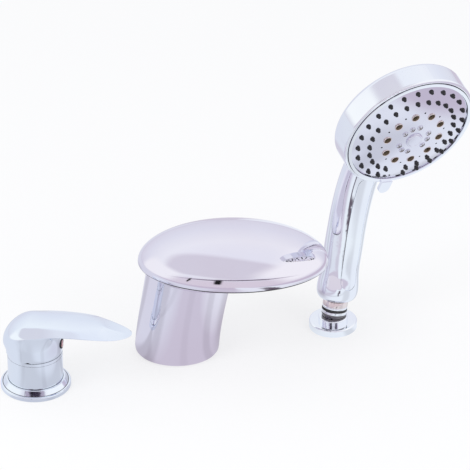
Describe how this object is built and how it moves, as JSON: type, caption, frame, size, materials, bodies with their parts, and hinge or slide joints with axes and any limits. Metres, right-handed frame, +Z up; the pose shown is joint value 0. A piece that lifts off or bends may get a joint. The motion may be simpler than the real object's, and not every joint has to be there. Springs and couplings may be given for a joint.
{
  "type": "bath mixer",
  "caption": "Deck-mounted bath mixer in separate stations: a lever control, a waterfall spout under a domed cover and a leaning hand shower in its deck holder.",
  "frame": {"origin": "centre of the spout base on the face of the deck", "axes": "+Z up out of the deck, +X from the lever control towards the hand shower, +Y away from the bather"},
  "size_m": [0.4002, 0.1555, 0.3213],
  "materials": {
    "chrome": "polished chrome plate on brass",
    "chromed_plastic": "polished chrome plate on moulded plastic",
    "brass": "turned brass, unplated",
    "steel": "zinc-plated steel",
    "rubber": "matt black rubber",
    "ceramic": "ground alumina ceramic",
    "inner_plastic": "natural moulded plastic",
    "tray_plastic": "satin moulded plastic",
    "index_plug": "small red index plug",
    "spray_face": "pale grey moulded plastic",
    "nozzle_rubber": "black silicone",
    "jet_plastic": "smoky brown plastic"
  },
  "bodies": {
    "deck_fixings": {"control_flange": "chrome", "control_flange_seal": "rubber", "control_body": "chrome", "control_washer": "rubber", "control_clamp_ring": "steel", "control_nut": "brass", "trim_ring": "chrome", "cartridge_base": "inner_plastic", "cartridge_seals": "rubber", "fixed_disc": "ceramic", "cartridge_housing": "inner_plastic", "cartridge_nut": "brass", "spout_body": "chrome", "spout_seal": "rubber", "spout_tray": "tray_plastic", "spout_cover": "chrome", "cover_screws": "steel", "spout_shank": "brass", "spout_washer": "rubber", "spout_clamp_ring": "steel", "spout_nut": "brass", "guide_flange": "chrome", "guide_seal": "rubber", "guide_tube": "brass", "guide_washer": "rubber", "guide_clamp_ring": "steel", "guide_nut": "brass", "guide_ferrule": "chrome"},
    "cartridge_turn": {"turning_sleeve": "inner_plastic", "pivot_pin": "steel"},
    "lever": {"lever_stem": "steel", "lever_handle": "chrome", "grub_screw": "steel", "index_plug": "index_plug"},
    "mixing_disc": {"moving_disc": "ceramic", "disc_carrier": "inner_plastic"},
    "hose_end": {"hose_nut": "chrome", "hose_washer": "rubber"},
    "hand_shower": {"handle_panel": "chromed_plastic", "handle_shell": "chromed_plastic", "spray_face": "spray_face", "outer_nozzles": "nozzle_rubber", "inner_nozzles": "nozzle_rubber", "massage_jets": "jet_plastic", "mist_jets": "nozzle_rubber", "centre_cap": "spray_face", "water_plate": "inner_plastic"},
    "selector": {"selector_ring": "chromed_plastic"}
  },
  "joints": [
    {"name": "temperature_turn", "type": "hinge", "parent": "deck_fixings", "child": "cartridge_turn", "pos_m": [-0.1196, -0.0564, 0.0284], "axis": [0, 0, 1], "range_deg": [-45, 45]},
    {"name": "lever_lift", "type": "hinge", "parent": "cartridge_turn", "child": "lever", "pos_m": [-0.1196, -0.0564, 0.0284], "axis": [-0.1736, -0.9848, 0], "range_deg": [0, 18]},
    {"name": "mixing_disc_slide", "type": "slide", "parent": "cartridge_turn", "child": "mixing_disc", "axis": [0.9848, -0.1736, 0], "range_m": [0, 0.0019]},
    {"name": "handset_lift", "type": "slide", "parent": "deck_fixings", "child": "hose_end", "axis": [0.1225, 0.1743, 0.977], "range_m": [0, 0.12]},
    {"name": "handset_turn", "type": "hinge", "parent": "hose_end", "child": "hand_shower", "pos_m": [0.1358, 0.0376, 0.007], "axis": [0.1225, 0.1743, 0.977], "range_deg": [-90, 90]},
    {"name": "selector_turn", "type": "hinge", "parent": "hand_shower", "child": "selector", "pos_m": [0.19654, 0.01035, 0.20669], "axis": [0.4066, -0.8499, -0.3352], "range_deg": [-30, 30]}
  ],
  "couplings": [
    {"joint": "mixing_disc_slide", "follows": "lever_lift", "m_per_rad": 0.00573}
  ]
}
